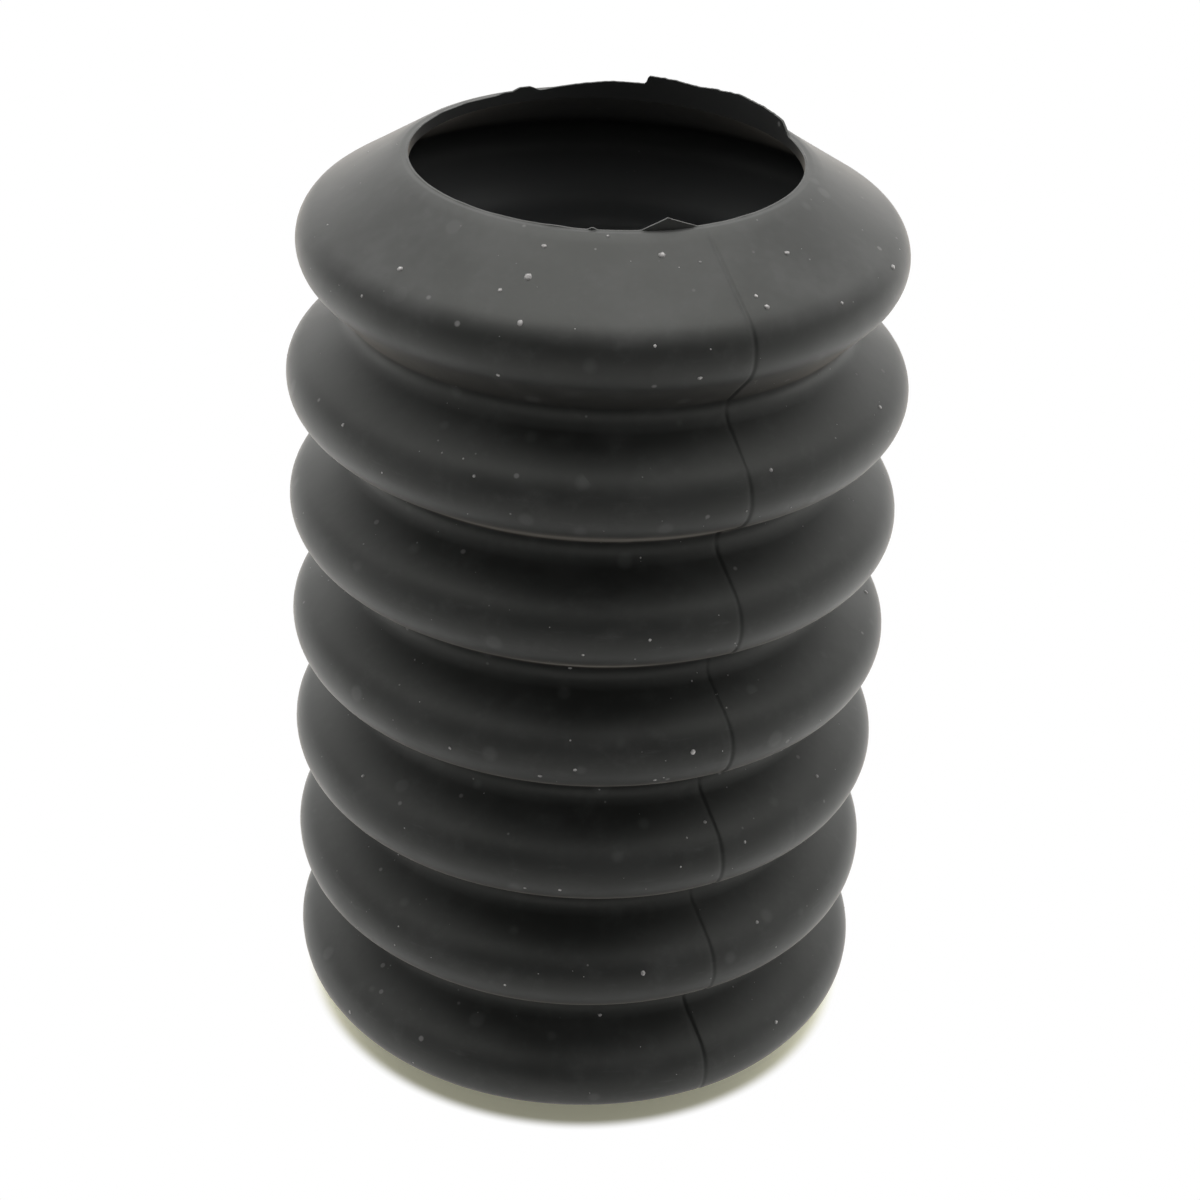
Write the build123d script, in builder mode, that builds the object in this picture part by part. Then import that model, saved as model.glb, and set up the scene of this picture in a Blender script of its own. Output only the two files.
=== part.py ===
from build123d import *
import os
from math import acos, atan2, cos, hypot, radians, sin, tan

# Rubber bellows boot: one moulded, thin-walled tube of round folds, open at both ends.
# Millimetres. The origin is at the centre of the lower mouth, on the surface the boot stands on,
# and +Z runs up the axis to the upper mouth. The two skins of the wall are drawn as one section
# and revolved, so the wall stays the same through every crest, flank and groove.

# ---- folds
fold_count = 7
crest_radius = 30.0        # outside, over the full-size folds
top_crest_step = 1.2       # the uppermost fold is this much smaller in radius
fold_depth = 5.6           # crest to groove, on the outside
pitch = 13.2               # crest to crest
top_pitch = 13.5           # the uppermost crest stands a little further off
crest_round = 3.75         # outside radius of the arc over a crest
valley_round = 1.65        # outside radius of the arc in a groove
round_share = 0.9          # most of half a pitch that the two arcs may fill together

# ---- wall and open ends
wall = 1.3
mouth_radius = 18.3        # bore of both lips
lip_land = 0.9             # width of the flat cut face of a lip
lip_break = 0.3            # worn outer corner of a lip
end_slope = 32.3           # end cones, degrees from the horizontal

# ---- mould parting ridge, on two opposite sides
parting_angle = -62.25     # degrees round the axis from +X
ridge_height = 0.2
ridge_width = 0.3

# ---- flash left standing on the upper lip: (degrees round the axis, height)
flash_thickness = 0.3
flash_setback = 0.25       # from the bore, so the strip stands on the flat of the lip
flash_root = 0.3           # how far the flash runs down into the lip
overrun = 1.0              # how far a strip's blank runs past its cut outline
back_flash = [
    (21, 0.0), (26, 1.1), (47, 1.6), (62, 1.3), (78, 1.6),
    (79, 0.75), (91, 0.7), (103, 0.3), (110, 0.0),
]
front_tag = [(-80, 0.0), (-72.7, 1.05), (-64, 0.0)]


# ---- where the arcs sit
def fitted_rounds():
    """Crest and groove radii, smaller where the folds are too close together for them."""
    room = round_share * min(pitch, top_pitch) / 2
    share = min(1.0, room / (crest_round + valley_round))
    return crest_round * share, valley_round * share


crest_r, valley_r = fitted_rounds()
slope = radians(end_slope)
lip_radius = mouth_radius + lip_land


def end_cone_rise(radius):
    """Height from a lip's flat face to the plane of the end crest of this radius."""
    tangent_x = radius - crest_r + crest_r * sin(slope)
    return (tangent_x - lip_radius) * tan(slope) + crest_r * cos(slope)


top_crest_radius = crest_radius - top_crest_step
crests = [(crest_radius - crest_r, end_cone_rise(crest_radius) + i * pitch) for i in range(fold_count - 1)]
crests.append((top_crest_radius - crest_r, crests[-1][1] + top_pitch))
valleys = [
    (crest_radius - fold_depth + valley_r, (low[1] + high[1]) / 2) for low, high in zip(crests, crests[1:])
]
height = crests[-1][1] + end_cone_rise(top_crest_radius)


# ---- one skin of the wall
def flank(crest, valley, inset):
    """Ends of the straight flank that is tangent to a crest arc and to the groove arc beside it."""
    dx = valley[0] - crest[0]
    dz = valley[1] - crest[1]
    swing = acos((crest_r + valley_r) / hypot(dx, dz))
    normal = atan2(dz, dx) - (swing if dz > 0 else -swing)
    on_crest = (crest[0] + (crest_r - inset) * cos(normal), crest[1] + (crest_r - inset) * sin(normal))
    on_valley = (valley[0] - (valley_r + inset) * cos(normal), valley[1] - (valley_r + inset) * sin(normal))
    return on_crest, on_valley


def cone_end(crest, inset, side, radius):
    """Tangent point of an end cone on its crest, and the cone's point at the given radius."""
    on_crest = (crest[0] + (crest_r - inset) * sin(slope), crest[1] + side * (crest_r - inset) * cos(slope))
    at_radius = (radius, on_crest[1] + side * (on_crest[0] - radius) * tan(slope))
    return on_crest, at_radius


def draw_skin(inset, end_radius):
    """Draw one skin in the open BuildLine, from the lower end to the upper, and give its two ends."""
    arc_start, low_end = cone_end(crests[0], inset, -1, end_radius)
    Line(low_end, arc_start)
    for crest, valley, above in zip(crests, valleys, crests[1:]):
        arc_end, groove_start = flank(crest, valley, inset)
        next_start, groove_end = flank(above, valley, inset)
        ThreePointArc(arc_start, (crest[0] + crest_r - inset, crest[1]), arc_end)
        Line(arc_end, groove_start)
        ThreePointArc(groove_start, (valley[0] - valley_r - inset, valley[1]), groove_end)
        Line(groove_end, next_start)
        arc_start = next_start
    arc_end, high_end = cone_end(crests[-1], inset, 1, end_radius)
    ThreePointArc(arc_start, (crests[-1][0] + crest_r - inset, crests[-1][1]), arc_end)
    Line(arc_end, high_end)
    return low_end, high_end


def flash_strip(outline):
    """Thin upright strip on the upper lip whose top edge follows the outline, as its own part."""
    middle = (outline[0][0] + outline[-1][0]) / 2
    inner = mouth_radius + flash_setback
    outer = inner + flash_thickness
    facing = Plane(
        origin=(0, 0, height),
        x_dir=(-sin(radians(middle)), cos(radians(middle)), 0),
        z_dir=(cos(radians(middle)), sin(radians(middle)), 0),
    )
    edge = [(outer * sin(radians(angle - middle)), rise) for angle, rise in outline]
    with BuildPart(mode=Mode.PRIVATE) as strip:
        with BuildSketch(Plane.XY.offset(height - flash_root)):
            Circle(outer)
            Circle(inner, mode=Mode.SUBTRACT)
        extrude(amount=flash_root + max(rise for angle, rise in outline) + overrun)
        with BuildSketch(facing):
            with BuildLine():
                Polyline((edge[0][0], -flash_root), *edge, (edge[-1][0], -flash_root), close=True)
            make_face()
        extrude(amount=outer + overrun, mode=Mode.INTERSECT)
    return strip.part


# ---- the boot
with BuildPart() as bellows_boot:
    with BuildSketch(Plane.XZ) as section:
        with BuildLine():
            outer_low, outer_high = draw_skin(0, lip_radius)
            inner_low, inner_high = draw_skin(wall, mouth_radius)
            Polyline(outer_low, (mouth_radius, outer_low[1]), inner_low)
            Polyline(outer_high, (mouth_radius, outer_high[1]), inner_high)
        make_face()
        lip_corners = section.vertices().sort_by(lambda corner: abs(corner.X - lip_radius))[:2]
        chamfer(lip_corners, lip_break)
    revolve(axis=Axis.Z)

    # parting ridges, from inside the wall to just proud of it
    ridge_end = lip_radius + lip_break + ridge_height / sin(slope)
    for angle in (parting_angle, parting_angle + 180):
        radial = Plane(
            origin=(0, 0, 0),
            x_dir=(cos(radians(angle)), sin(radians(angle)), 0),
            z_dir=(sin(radians(angle)), -cos(radians(angle)), 0),
        )
        with BuildSketch(radial):
            with BuildLine():
                proud_low, proud_high = draw_skin(-ridge_height, ridge_end)
                sunk_low, sunk_high = draw_skin(wall / 2, ridge_end)
                Line(proud_low, sunk_low)
                Line(proud_high, sunk_high)
            make_face()
        extrude(amount=ridge_width / 2, both=True)

    # torn flash on the upper lip
    add(flash_strip(back_flash))
    add(flash_strip(front_tag))

bellows_boot.part.label = "bellows_boot"

os.makedirs("parts", exist_ok=True)
export_step(bellows_boot.part, "parts/bellows_boot.step")

print("solids", len(bellows_boot.part.solids()), "valid", bellows_boot.part.is_valid)
print("volume mm3", round(bellows_boot.part.volume, 1), "height", round(height, 3))
print("crests", [round(z, 3) for x, z in crests], "valleys", [round(z, 3) for x, z in valleys])
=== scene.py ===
"""Dresses the rubber bellows boot: a fine skin over the moulded part, its black rubber and its dust."""

import math
import random
from collections import namedtuple

import bmesh
import bpy
from mathutils import Matrix, Vector
from mathutils import noise
from mathutils.bvhtree import BVHTree


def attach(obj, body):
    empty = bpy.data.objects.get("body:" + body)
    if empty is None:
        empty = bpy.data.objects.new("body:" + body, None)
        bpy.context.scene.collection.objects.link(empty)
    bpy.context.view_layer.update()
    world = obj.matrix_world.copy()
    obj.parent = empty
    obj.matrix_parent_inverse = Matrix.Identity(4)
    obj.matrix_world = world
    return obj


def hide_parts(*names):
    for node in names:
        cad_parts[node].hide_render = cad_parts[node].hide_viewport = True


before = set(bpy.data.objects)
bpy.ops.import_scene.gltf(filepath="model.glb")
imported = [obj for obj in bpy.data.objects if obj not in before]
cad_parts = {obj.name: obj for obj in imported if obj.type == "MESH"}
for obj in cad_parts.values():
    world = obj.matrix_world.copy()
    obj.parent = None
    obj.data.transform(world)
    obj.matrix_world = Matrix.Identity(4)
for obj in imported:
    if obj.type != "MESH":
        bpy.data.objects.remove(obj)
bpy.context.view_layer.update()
mm = 0.001

# ---- sizes of the moulding, as drawn in the part's source
fold_count = 7
crest_radius = 30.0 * mm
top_crest_radius = 28.8 * mm
fold_depth = 5.6 * mm
pitch = 13.2 * mm
top_pitch = 13.5 * mm
crest_round = 3.75 * mm
valley_round = 1.65 * mm
wall = 1.3 * mm
mouth_radius = 18.3 * mm
lip_land = 0.9 * mm
lip_break = 0.3 * mm
end_slope = math.radians(32.3)
lip_radius = mouth_radius + lip_land
corner_drop = 0.28 * lip_break            # the broken corner's outer edge lies this far off the lip's face

# ---- slow and quick rise and fall of the skin, which starts a little way from the lips
slow_swell = 0.06 * mm
slow_waves = 60.0             # in each metre, as for the other waves along a length
quick_swell = 0.016 * mm
quick_waves = 190.0
lip_margin = 0.2 * mm
lip_fade = 0.6 * mm

# ---- parting line, on two opposite sides: mm sideways from it, mm proud of the skin
parting_angle = math.radians(-62.25)
parting_profile = [
    (-1.10, 0.0), (-0.48, 0.0), (-0.30, -0.025), (-0.15, -0.065), (-0.03, -0.055),
    (0.09, 0.03), (0.22, 0.065), (0.40, 0.06), (0.66, 0.055), (1.10, 0.05),
]
parting_clear = 2.0 * mm      # no other column runs nearer to the line than this
parting_drift = 0.16 * mm
drift_waves = 190.0
strength_mean = 0.85          # how clearly the line stands out, where 1 is the profile as given
strength_swing = 0.7
strength_waves = 120.0
mismatch = 0.05 * mm          # one mould half stands this far over the other
mismatch_reach = 9.0 * mm

# ---- torn flash on the upper lip: degrees round the axis, height in mm
flash_thickness = 0.24 * mm
flash_outlines = [
    [(21, 0.0), (26, 1.1), (47, 1.6), (62, 1.3), (78, 1.6), (79, 0.75), (91, 0.7), (103, 0.3), (110, 0.0)],
    [(112, 0.0), (115, 0.42), (118.5, 0.38), (121, 0.08), (124, 0.16), (127, 0.0)],
    [(-80, 0.0), (-72.7, 1.05), (-64, 0.0)],
    [(-94.5, 0.0), (-93, 0.22), (-91.5, 0.0)],
]
burr_height = 0.06 * mm
torn_waves = 7.0              # these three for each radian round the axis
nick_waves = 26.0
burr_waves = 75.0

# ---- how finely the skin is divided
columns = 168
lip_columns = 4               # columns of the lips for each one of the folds
crease_angle = math.radians(50)
crest_steps = 14
valley_steps = 10
flank_steps = 5
cone_steps = 11

# ---- camera, in the frame of the part
eye = Vector((0.0, -210.9, 174.9)) * mm
eye_yaw = math.radians(0.33)
eye_pitch = math.radians(30.91)
eye_roll = math.radians(2.57)
sensor = 36.0
lens = 71.94
picture = 1200                # the picture's width and height, in pixels
nearest_seen = 5.0 * mm

# ---- dust: the specks that show, in pixels across and down the picture and mm of radius, then the rest
lodged_dust = [
    (400, 269, 0.24), (528, 277, 0.30), (544, 246, 0.22), (500, 290, 0.16), (520, 323, 0.22),
    (662, 255, 0.30), (787, 253, 0.24), (893, 267, 0.26), (767, 307, 0.22), (842, 303, 0.14),
    (700, 378, 0.22), (771, 470, 0.18), (655, 346, 0.12), (608, 236, 0.12), (498, 375, 0.16),
    (756, 296, 0.16), (700, 262, 0.12), (880, 407, 0.20), (362, 296, 0.14), (343, 425, 0.16),
    (570, 668, 0.18), (583, 655, 0.12), (650, 640, 0.12), (693, 752, 0.22), (655, 780, 0.16),
    (705, 822, 0.14), (745, 842, 0.12), (757, 922, 0.16), (643, 973, 0.20), (540, 776, 0.20),
    (575, 770, 0.16), (450, 748, 0.14), (525, 888, 0.14), (560, 890, 0.14), (505, 985, 0.12),
    (600, 1015, 0.16), (776, 1022, 0.18), (350, 1012, 0.16), (363, 776, 0.16), (817, 776, 0.18),
    (866, 592, 0.22), (474, 476, 0.12),
]
lodged_growth = 1.3           # these specks are drawn this many times larger than noted
scattered_dust = 420
scattered_sizes = (0.04, 0.05, 0.06, 0.10)
dust_seed = 11

# ---- where the rubber's finish changes, in mm
cone_light_rise = (84.0, 88.0)     # height over which painted light on the upper cone grows from none to full
inside_light_fade = (84.0, 91.0)    # height over which the painted light on the inside wall gives way to plain rubber
handled_depth = (1.6, 0.3)    # depth below the crests over which scuffs grow from none to full

# ---- table and its contact shadow
table_half = 1.5
table_albedo = 0.42                       # in front, to the light that the boot gathers
table_glow = 0.14
table_glow_beyond = 0.6                   # the table's glow beside and behind the boot
table_turn = (-70.0, 0.0)                 # mm along y over which the front gives way to the rest
shadow_tint = (1.0, 0.985, 0.75, 1.0)
shadow_glow = (0.14, 0.138, 0.105, 1.0)
shadow_back = 4.4 * mm                    # the shadow lies this far back from the axis
shadow_core = 28.7 * mm
shadow_reach = 30.4 * mm

# ---- how bright the room is by direction: from the table's level up to near the zenith
surround_steps = ((0.30, 0.60), (0.78, 0.88), (0.94, 0.975), (0.983, 0.995))
side_turn = (0.35, 0.85)      # how the front, and the back, give way to the sides
middle_turn = 0.05            # how the left side gives way to the right
overhead = 2.7
front_levels = (0.0, 0.22, 0.0, 1.2)
behind_levels = (2.0, 1.4, 3.9, 4.0)
left_levels = (0.55, 0.55, 3.9, 4.0)
right_levels = (0.72, 0.72, 3.9, 4.0)

white = (1.0, 1.0, 1.0, 1.0)


# ---------------------------------------------------------------- section of the wall
Row = namedtuple("Row", "radius height normal part")


def end_cone_rise(radius):
    """Height from a lip's flat face to the plane of the end crest of this radius."""
    tangent_x = radius - crest_round + crest_round * math.sin(end_slope)
    return (tangent_x - lip_radius) * math.tan(end_slope) + crest_round * math.cos(end_slope)


crest_heights = [end_cone_rise(crest_radius) + i * pitch for i in range(fold_count - 1)]
crests = [(crest_radius - crest_round, z) for z in crest_heights]
crests.append((top_crest_radius - crest_round, crest_heights[-1] + top_pitch))
valley_radius = crest_radius - fold_depth + valley_round
valleys = [(valley_radius, (low[1] + high[1]) / 2) for low, high in zip(crests, crests[1:])]
height = crests[-1][1] + end_cone_rise(top_crest_radius)


def arc(centre, radius, start, end, steps):
    """Points on an arc with the outward normal of each, from one angle to another."""
    points = []
    for i in range(steps + 1):
        a = start + (end - start) * i / steps
        normal = (math.cos(a), math.sin(a))
        points.append((centre[0] + radius * normal[0], centre[1] + radius * normal[1], normal))
    return points


def straight(start, end, normal, steps):
    """Points strictly between two ends of a straight stretch."""
    points = []
    for i in range(1, steps):
        t = i / steps
        points.append((start[0] + (end[0] - start[0]) * t, start[1] + (end[1] - start[1]) * t, normal))
    return points


def normal_angle(crest, valley):
    """Angle of the outward normal of the flank between a crest arc and the groove arc beside it."""
    dx = valley[0] - crest[0]
    dz = valley[1] - crest[1]
    swing = math.acos((crest_round + valley_round) / math.hypot(dx, dz))
    return math.atan2(dz, dx) - (swing if dz > 0 else -swing)


def skin(inset, coarse):
    """Points of one skin from one end cone to the other, each with its outward normal."""
    points = []
    start = end_slope - math.pi / 2
    for i, crest in enumerate(crests):
        last = i == fold_count - 1
        end = math.pi / 2 - end_slope if last else normal_angle(crest, valleys[i])
        points += arc(crest, crest_round - inset, start, end, crest_steps // coarse)
        if last:
            break
        after = normal_angle(crests[i + 1], valleys[i])
        groove = arc(valleys[i], -valley_round - inset, end, after, valley_steps // coarse)
        points += straight(points[-1], groove[0], groove[0][2], flank_steps // coarse)
        points += groove
        rise = arc(crests[i + 1], crest_round - inset, after, after, 1)[0]
        points += straight(groove[-1], rise, rise[2], flank_steps // coarse)
        start = after
    return points


def lower_lip():
    """The lower lip's rows, from the bore out to its broken corner."""
    corner = 0.04 * mm
    return [
        Row(mouth_radius, corner, (-1.0, 0.0), "lip"),
        Row(mouth_radius + corner, 0.0, (0.0, -1.0), "lip"),
        Row(lip_radius - lip_break, 0.0, (0.0, -1.0), "lip"),
        Row(lip_radius, corner_drop, (0.4, -0.9), "lip"),
    ]


def upper_lip():
    """The upper lip's rows, from its broken corner in to the bore; flash rows rise with the torn edge."""
    corner = 0.03 * mm
    flash_radius = mouth_radius + flash_thickness
    return [
        Row(lip_radius, height - corner_drop, (0.4, 0.9), "lip"),
        Row(lip_radius - lip_break * 0.4, height - lip_break * 0.06, (0.2, 1.0), "lip"),
        Row(lip_radius - lip_break, height, (0.0, 1.0), "lip"),
        Row(flash_radius + 4 * corner, height, (0.0, 1.0), "lip"),
        Row(flash_radius + corner, height + corner / 2, (0.5, 0.8), "lip"),
        Row(flash_radius, height + corner / 2, (1.0, 0.0), "root"),
        Row(flash_radius - corner, height, (1.0, 0.0), "flash"),
        Row(mouth_radius + corner, height, (0.0, 1.0), "flash"),
        Row(mouth_radius, height - corner / 2, (-1.0, 0.0), "flash"),
        Row(mouth_radius, height - 4 * corner, (-1.0, 0.0), "lip"),
    ]


def wall_rows():
    """The wall's closed section as rows, up the outside, over the lip, down the inside and out again."""
    below = (math.sin(end_slope), -math.cos(end_slope))
    above = (math.sin(end_slope), math.cos(end_slope))
    outer = skin(0.0, 1)
    inner = [(r, z, (-n[0], -n[1])) for r, z, n in skin(wall, 2)]
    bore_depth = wall / math.cos(end_slope) - lip_land * math.tan(end_slope)
    corner_out = lip_radius + lip_break * math.cos(end_slope)
    corner_in = lip_break * math.sin(end_slope)
    low_corner = (corner_out, corner_in, below)
    high_corner = (corner_out, height - corner_in, above)
    low_bore = (mouth_radius, bore_depth, (-1.0, 0.0))
    high_bore = (mouth_radius, height - bore_depth, (-1.0, 0.0))

    outside = [low_corner] + straight(low_corner, outer[0], below, cone_steps) + outer
    outside += straight(outer[-1], high_corner, above, cone_steps) + [high_corner]
    inside = [high_bore] + straight(high_bore, inner[-1], inner[-1][2], cone_steps // 2)
    inside += inner[::-1]
    inside += straight(inner[0], low_bore, inner[0][2], cone_steps // 2) + [low_bore]
    rows = [Row(r, z, n, "outer") for r, z, n in outside] + upper_lip()
    rows += [Row(r, z, n, "inner") for r, z, n in inside] + lower_lip()
    return rows


# ---------------------------------------------------------------- round the axis
def outline_height(outline, degrees):
    """Height of one flash outline at an angle round the axis, zero outside it."""
    for (a, low), (b, high) in zip(outline, outline[1:]):
        if a <= degrees <= b:
            return (low + (high - low) * (degrees - a) / (b - a)) * mm
    return 0.0


def flash_height(angle):
    """Height of the torn edge above the lip at an angle round the axis, with its nicks and burr."""
    degrees = math.degrees(math.remainder(angle, 2 * math.pi))
    stands = max(outline_height(outline, degrees) for outline in flash_outlines)
    around = Vector((math.cos(angle), math.sin(angle), 0.0))
    torn = max(0.0, 0.5 + noise.noise(around * torn_waves))
    nicks = noise.noise(around * nick_waves)
    fine = noise.noise(around * burr_waves)
    burr = burr_height * (0.4 + torn * torn + 0.5 * nicks * nicks)
    return stands * (1 + 0.05 * nicks + 0.03 * fine) + burr


def seam_step(angle, radius):
    """Height of one mould half over the other, fading away from the parting line."""
    past = math.remainder(angle - parting_angle, 2 * math.pi) * radius
    return mismatch * math.exp(-past / mismatch_reach) if past > 0 else 0.0


def unevenness(x, y, z):
    """Slow rise and fall of the moulded surface."""
    where = Vector((x, y, z))
    slow = noise.noise(where * slow_waves)
    quick = noise.noise(where * quick_waves + Vector((7.0, 3.0, 1.0)))
    return slow_swell * slow + quick_swell * quick


def seam_wander(z):
    """The parting line's small sideways drift."""
    return parting_drift * noise.noise(Vector((0.0, 5.0, z * drift_waves)))


def seam_strength(z):
    """How clearly the parting line stands out at a height."""
    return strength_mean + strength_swing * noise.noise(Vector((9.0, 2.0, z * strength_waves)))


Column = namedtuple("Column", "angle sideways rise")


def column_place(column):
    """A column's angle with its sideways offset taken at the crest."""
    return column.angle + column.sideways / crest_radius


def ring_columns():
    """Columns round the axis, with close ones across each parting line; rise is None elsewhere."""
    seams = (parting_angle % (2 * math.pi), (parting_angle + math.pi) % (2 * math.pi))
    clear = parting_clear / crest_radius
    ring = [Column(seam, sideways * mm, rise * mm) for seam in seams for sideways, rise in parting_profile]
    for i in range(columns):
        angle = i * 2 * math.pi / columns
        if min(abs(math.remainder(angle - seam, 2 * math.pi)) for seam in seams) > clear:
            ring.append(Column(angle, 0.0, None))
    return sorted(ring, key=column_place)


def lip_ring(ring):
    """Finer columns for the lips, and for each column of the folds its place among them."""
    fine = []
    starts = []
    full = 2 * math.pi / columns
    for column, after in zip(ring, ring[1:] + ring[:1]):
        here = column.angle + column.sideways / lip_radius
        there = after.angle + after.sideways / lip_radius
        span = (there - here) % (2 * math.pi)
        parts = max(1, round(lip_columns * span / full))
        starts.append(len(fine))
        fine += [here + span * k / parts for k in range(parts)]
    return fine, starts


def outer_point(row, column):
    """A point of the outer skin, with the parting line, the step across it and the unevenness."""
    angle = column.angle
    if column.rise is None:
        lift = seam_step(angle, row.radius)
    else:
        angle += (column.sideways + seam_wander(row.height)) / row.radius
        lift = column.rise * seam_strength(row.height)
    edge = min(row.height, height - row.height) - lip_margin
    fade = min(1.0, max(0.0, edge / lip_fade))
    x = row.radius * math.cos(angle)
    y = row.radius * math.sin(angle)
    lift = (lift + unevenness(x, y, row.height)) * fade
    reach = row.radius + row.normal[0] * lift
    return reach * math.cos(angle), reach * math.sin(angle), row.height + row.normal[1] * lift


def plain_point(row, column):
    """A point of the inner skin, which has no parting line."""
    angle = column.angle + column.sideways / row.radius
    return row.radius * math.cos(angle), row.radius * math.sin(angle), row.height


def lip_point(row, angle):
    """A point of a lip, raised by the torn edge on the flash's rows."""
    raised = {"lip": 0.0, "root": 0.3, "flash": 1.0}[row.part] * flash_height(angle)
    return row.radius * math.cos(angle), row.radius * math.sin(angle), row.height + raised


def boot_mesh():
    """The section's rows carried round the axis: coarse on the folds, finer on the lips."""
    ring = ring_columns()
    fine, starts = lip_ring(ring)
    verts = []
    rings = []
    for row in wall_rows():
        first = len(verts)
        if row.part == "outer":
            verts += [outer_point(row, column) for column in ring]
        elif row.part == "inner":
            verts += [plain_point(row, column) for column in ring]
        else:
            verts += [lip_point(row, angle) for angle in fine]
        rings.append(list(range(first, len(verts))))

    faces = []
    ends = starts[1:] + [len(fine)]
    for lower, upper in zip(rings, rings[1:] + rings[:1]):
        if len(lower) == len(upper):
            around = zip(lower, lower[1:] + lower[:1], upper[1:] + upper[:1], upper)
            faces += [list(quad) for quad in around]
            continue
        for i, (start, end) in enumerate(zip(starts, ends)):
            j = (i + 1) % len(ring)
            if len(lower) < len(upper):
                run = [upper[k % len(fine)] for k in range(start, end + 1)]
                faces.append([lower[i], lower[j]] + run[::-1])
            else:
                run = [lower[k % len(fine)] for k in range(start, end + 1)]
                faces.append(run + [upper[j], upper[i]])
    mesh = bpy.data.meshes.new("boot_skin")
    mesh.from_pydata(verts, [], faces)
    mesh.shade_smooth()
    mesh.set_sharp_from_angle(angle=crease_angle)
    return mesh


def add_object(name, mesh):
    piece = bpy.data.objects.new(name, mesh)
    bpy.context.scene.collection.objects.link(piece)
    return piece


# ---------------------------------------------------------------- shader helpers
class Field:
    """A number that varies over a surface; arithmetic on it adds Math nodes."""

    def __init__(self, nodes, socket):
        self.nodes = nodes
        self.socket = socket

    def math(self, operation, *values):
        return self.nodes.add("ShaderNodeMath", {"operation": operation}, values)

    def __add__(self, other):
        return self.math("ADD", self, other)

    def __radd__(self, other):
        return self.math("ADD", other, self)

    def __sub__(self, other):
        return self.math("SUBTRACT", self, other)

    def __rsub__(self, other):
        return self.math("SUBTRACT", other, self)

    def __mul__(self, other):
        return self.math("MULTIPLY", self, other)

    def __rmul__(self, other):
        return self.math("MULTIPLY", other, self)

    def __truediv__(self, other):
        return self.math("DIVIDE", self, other)

    def __pow__(self, other):
        return self.math("POWER", self, other)

    def between(self, low, high):
        """Smooth step from 0 at low to 1 at high."""
        settings = {"interpolation_type": "SMOOTHSTEP"}
        span = (self, min(low, high), max(low, high))
        rising = self.nodes.add("ShaderNodeMapRange", settings, span)
        return rising if low < high else 1 - rising


class Nodes:
    """The node tree of a material or a world, emptied but for its output."""

    def __init__(self, owner, output="ShaderNodeOutputMaterial"):
        owner.use_nodes = True
        self.owner = owner
        self.tree = owner.node_tree
        self.tree.nodes.clear()
        self.output = self.tree.nodes.new(output)

    def add(self, kind, settings=None, inputs=None, output=0):
        """Adds a node: its settings first, then the value or link of each socket, and gives one output."""
        made = self.tree.nodes.new(kind)
        for name, value in (settings or {}).items():
            setattr(made, name, value)
        pairs = inputs.items() if isinstance(inputs, dict) else enumerate(inputs or ())
        for key, value in pairs:
            if isinstance(value, Field):
                self.tree.links.new(value.socket, made.inputs[key])
            else:
                made.inputs[key].default_value = value
        return Field(self, made.outputs[output])

    def split(self, vector):
        """The three parts of a vector."""
        return [self.add("ShaderNodeSeparateXYZ", None, (vector,), axis) for axis in range(3)]

    def place(self, scale=1.0):
        """The point on the piece, in millimetres times a scale."""
        where = self.add("ShaderNodeTexCoord", None, None, "Object")
        return self.add("ShaderNodeVectorMath", {"operation": "SCALE"}, {0: where, "Scale": scale / mm})

    def blotches(self, size, detail=3.0, rough=0.5, stretch=(1.0, 1.0, 1.0)):
        """Fractal noise whose main features are about size millimetres across."""
        where = self.add("ShaderNodeVectorMath", {"operation": "MULTIPLY"}, (self.place(), stretch))
        sockets = {"Vector": where, "Scale": 1.0 / size, "Detail": detail, "Roughness": rough}
        return self.add("ShaderNodeTexNoise", None, sockets)

    def spots(self, cell, radius, share):
        """Soft round spots, one in some of the cells of a grid of cells of that size in millimetres."""
        sockets = {"Vector": self.place(1.0 / cell), "Scale": 1.0}
        away = self.add("ShaderNodeTexVoronoi", None, sockets, "Distance")
        tint = self.add("ShaderNodeTexVoronoi", None, sockets, "Color")
        pick, size = self.split(tint)[:2]
        spot = (radius / cell * (0.45 + 0.9 * size) - away).between(0.0, 0.6 * radius / cell)
        return spot * pick.between(1 - share, 1.01 - share)

    def blend(self, mask, low, high):
        """Colour that goes from low to high with the mask."""
        return self.add("ShaderNodeMix", {"data_type": "RGBA"}, {0: mask, 6: low, 7: high}, 2)

    def bump(self, field, depth, over=None):
        """Normal of a surface that rises by depth millimetres where the field goes from 0 to 1."""
        sockets = {"Height": field, "Distance": depth * mm, "Strength": 1.0}
        if over is not None:
            sockets["Normal"] = over
        return self.add("ShaderNodeBump", None, sockets)

    def finish(self, shader):
        self.tree.links.new(shader.socket, self.output.inputs["Surface"])
        return self.owner


def tone(value, warmth=0.0):
    """A grey colour, a little warmer or cooler than neutral."""
    return (value * (1 + warmth), value, value * (1 - warmth), 1.0)


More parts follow.
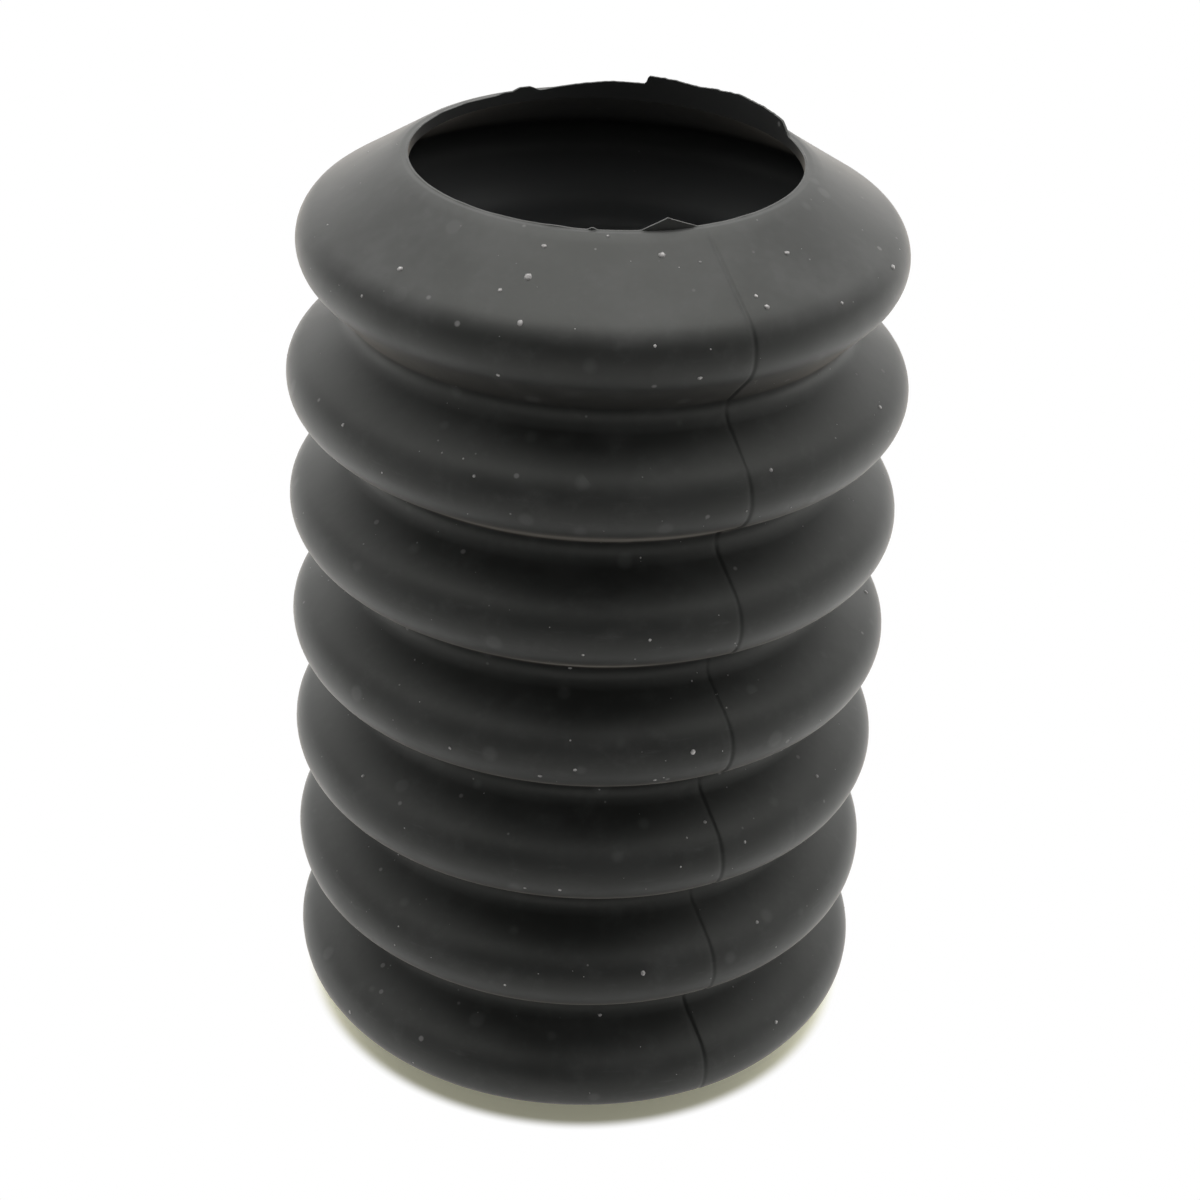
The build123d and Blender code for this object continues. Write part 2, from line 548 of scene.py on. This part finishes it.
# ---------------------------------------------------------------- finishes
def black_rubber():
    """Matt black moulded rubber: painted light on the upper cone and inside wall; smudges, scuffs and fine
    dust.
    """
    nodes = Nodes(bpy.data.materials.new("black_rubber"))
    x, y, z = nodes.split(nodes.place())
    reach = (x * x + y * y) ** 0.5
    facing = nodes.split(nodes.add("ShaderNodeNewGeometry", None, None, "Normal"))
    inward = (facing[0] * x + facing[1] * y).between(0.0, -4.0)

    bloom = nodes.blotches(11.0, 4.0, 0.6).between(0.40, 0.70)
    film = nodes.blotches(2.4, 5.0, 0.65).between(0.48, 0.78)
    streaks = nodes.blotches(1.5, 5.0, 0.7, (0.35, 0.35, 2.4)).between(0.56, 0.74)
    settled = facing[2].between(0.0, 0.9)
    handled = reach.between(*(crest_radius / mm - depth for depth in handled_depth))
    scuffs = streaks * handled
    dust = nodes.spots(1.7, 0.10, 0.40)
    lint = nodes.spots(2.8, 0.26, 0.45)
    smudges = nodes.spots(4.0, 0.85, 0.5)
    # painted light: the upward faces of the upper cone, which the overhead light reaches, are painted paler,
    # mottled by the bloom
    cone_painted_light = facing[2].between(0.38, 0.64) * z.between(*cone_light_rise)

    haze_and_painted_light = 0.50 * settled * bloom + 0.40 * film + 0.45 * scuffs
    # the haze holds real dust, film, scuffs and smudges, and also the painted light on the upper cone
    haze_and_painted_light = haze_and_painted_light + cone_painted_light * (0.20 + 0.34 * bloom) + 0.6 * smudges
    colour = nodes.blend(haze_and_painted_light, tone(0.003, -0.10), tone(0.04))
    # painted light: the inside wall deep in the bore is painted paler than plain rubber, fading to plain
    # rubber near the mouth
    inside_painted_light = nodes.blend(z.between(*inside_light_fade), tone(0.12, -0.03), tone(0.02, -0.03))
    colour = nodes.blend(inward, colour, inside_painted_light)
    colour = nodes.blend(0.6 * dust, colour, tone(0.20, 0.02))
    colour = nodes.blend(0.5 * lint, colour, tone(0.24, 0.02))
    roughness = 0.55 + 0.06 * bloom + 0.05 * film + 0.06 * scuffs + 0.2 * lint

    grain = nodes.blotches(0.35, 3.0, 0.6)
    dents = nodes.blotches(4.5, 2.0, 0.5)
    normal = nodes.bump(dents, 0.03)
    normal = nodes.bump(grain, 0.004, normal)
    sockets = {"Base Color": colour, "Roughness": roughness, "Normal": normal}
    sockets |= {"IOR": 1.6, "Specular Tint": (0.985, 1.0, 0.935, 1.0)}
    sockets |= {"Sheen Weight": 0.28, "Sheen Roughness": 0.25, "Sheen Tint": (1.0, 0.90, 0.77, 1.0)}
    return nodes.finish(nodes.add("ShaderNodeBsdfPrincipled", None, sockets))


def pale_dust():
    """Specks of light dust and lint that stick to the rubber."""
    nodes = Nodes(bpy.data.materials.new("pale_dust"))
    colour = nodes.blend(nodes.blotches(0.4).between(0.3, 0.7), tone(0.22, 0.02), tone(0.48, 0.03))
    sockets = {"Base Color": colour, "Roughness": 0.9}
    return nodes.finish(nodes.add("ShaderNodeBsdfPrincipled", None, sockets))


def table_top():
    """White table: grey in front to the light that the boot gathers, white to the camera past the shadow."""
    nodes = Nodes(bpy.data.materials.new("white_table"))
    seen = nodes.add("ShaderNodeLightPath", None, None, "Is Camera Ray")
    x, y = nodes.split(nodes.place())[:2]
    back = y - shadow_back / mm
    past_shadow = ((x * x + back * back) ** 0.5).between(shadow_core / mm, shadow_reach / mm)
    beyond = y.between(*table_turn)
    cast = nodes.blend(beyond, tone(table_albedo), white)
    faint = nodes.blend(beyond, tone(table_glow), tone(table_glow_beyond))
    glowing = nodes.blend(seen, faint, shadow_glow)
    lit = nodes.add("ShaderNodeBsdfDiffuse", None, {"Color": nodes.blend(seen, cast, shadow_tint)})
    glow = nodes.add("ShaderNodeEmission", None, {"Color": glowing, "Strength": 1.0})
    shaded = nodes.add("ShaderNodeAddShader", None, (lit, glow))
    plain = nodes.add("ShaderNodeEmission", None, {"Color": white, "Strength": 1.0})
    return nodes.finish(nodes.add("ShaderNodeMixShader", None, (seen * past_shadow, shaded, plain)))


# ---------------------------------------------------------------- the boot
boot = add_object("boot_skin", boot_mesh())
boot.data.materials.append(black_rubber())
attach(boot, "root")
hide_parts("bellows_boot")


# ---------------------------------------------------------------- camera
ahead = Vector((math.sin(eye_yaw), math.cos(eye_yaw), -math.tan(eye_pitch))).normalized()
level = Vector((math.cos(eye_yaw), -math.sin(eye_yaw), 0.0))
above = level.cross(ahead)
right = math.cos(eye_roll) * level + math.sin(eye_roll) * above
up = math.cos(eye_roll) * above - math.sin(eye_roll) * level
camera_turn = Matrix((right, up, -ahead)).transposed()
camera_data = bpy.data.cameras.new("camera")
camera_data.lens = lens
camera_data.sensor_width = sensor
camera_data.clip_start = nearest_seen
camera = add_object("camera", camera_data)
camera.matrix_world = Matrix.Translation(eye) @ camera_turn.to_4x4()
bpy.context.scene.camera = camera
bpy.context.scene.view_settings.view_transform = "Standard"


# ---------------------------------------------------------------- dust that sticks to the rubber
def add_speck(shape, seat, out, size, dice):
    """One flattened lump on the skin."""
    turn = out.to_track_quat("Z", "Y").to_matrix().to_4x4()
    spread = Matrix.Diagonal((size, size * dice.uniform(0.7, 1.2), size * 0.3, 1.0))
    place = Matrix.Translation(seat) @ turn @ spread
    lump = bmesh.ops.create_icosphere(shape, subdivisions=1, radius=1.0, matrix=place)
    for vert in lump["verts"]:
        vert.co += out * size * dice.uniform(-0.08, 0.08)


def dust_mesh(dice):
    """Specks seated on the outer skin: the large ones in their places, the rest scattered."""
    skin_mesh = boot.data
    faces = [face.vertices for face in skin_mesh.polygons]
    seats = BVHTree.FromPolygons([vert.co for vert in skin_mesh.vertices], faces)
    shape = bmesh.new()
    for across, down, size in lodged_dust:
        aim = Vector((across - picture / 2, picture / 2 - down, -lens / sensor * picture))
        seat, out = seats.ray_cast(eye, camera_turn @ aim.normalized())[:2]
        if seat is not None:
            add_speck(shape, seat, out, size * lodged_growth * mm, dice)
    outer_rows = sum(row.part == "outer" for row in wall_rows())
    outer_verts = skin_mesh.vertices[: outer_rows * len(ring_columns())]
    for vert in dice.sample(list(outer_verts), scattered_dust):
        add_speck(shape, vert.co, vert.normal, dice.choice(scattered_sizes) * mm, dice)
    mesh = bpy.data.meshes.new("dust_specks")
    shape.to_mesh(mesh)
    shape.free()
    mesh.shade_smooth()
    return mesh


specks = add_object("dust_specks", dust_mesh(random.Random(dust_seed)))
specks.data.materials.append(pale_dust())
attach(specks, "root")

# ---------------------------------------------------------------- table and light
table_mesh = bpy.data.meshes.new("table")
table_signs = [(-1, -1), (1, -1), (1, 1), (-1, 1)]
table_corners = [(x * table_half, y * table_half, 0.0) for x, y in table_signs]
table_mesh.from_pydata(table_corners, [], [(0, 1, 2, 3)])
table = add_object("table", table_mesh)
table.data.materials.append(table_top())


def studio_surround():
    """Soft light by direction, strongest behind the zenith and dim in front; plain white to the camera."""
    world = bpy.data.worlds.new("surround")
    bpy.context.scene.world = world
    nodes = Nodes(world, "ShaderNodeOutputWorld")
    x, y, z = nodes.split(nodes.add("ShaderNodeTexCoord", None, None, "Generated"))
    frontness = -1 * y / (x * x + y * y) ** 0.5
    front = frontness.between(*side_turn)
    behind = frontness.between(-side_turn[0], -side_turn[1])
    beside = 1 - front - behind
    right_side = beside * x.between(-middle_turn, middle_turn)
    left_side = beside - right_side

    rises = [z.between(low, high) for low, high in surround_steps]
    bands = [1 - rises[0], rises[0] - rises[1], rises[1] - rises[2], rises[2] - rises[3]]
    strength = overhead * rises[3]
    sides = (front, behind, left_side, right_side)
    side_levels = (front_levels, behind_levels, left_levels, right_levels)
    for side, levels in zip(sides, side_levels):
        for band, brightness in zip(bands, levels):
            strength = strength + side * band * brightness

    seen = nodes.add("ShaderNodeLightPath", None, None, "Is Camera Ray")
    strength = strength * (1 - seen) + seen
    nodes.finish(nodes.add("ShaderNodeBackground", None, {"Color": white, "Strength": strength}))


studio_surround()
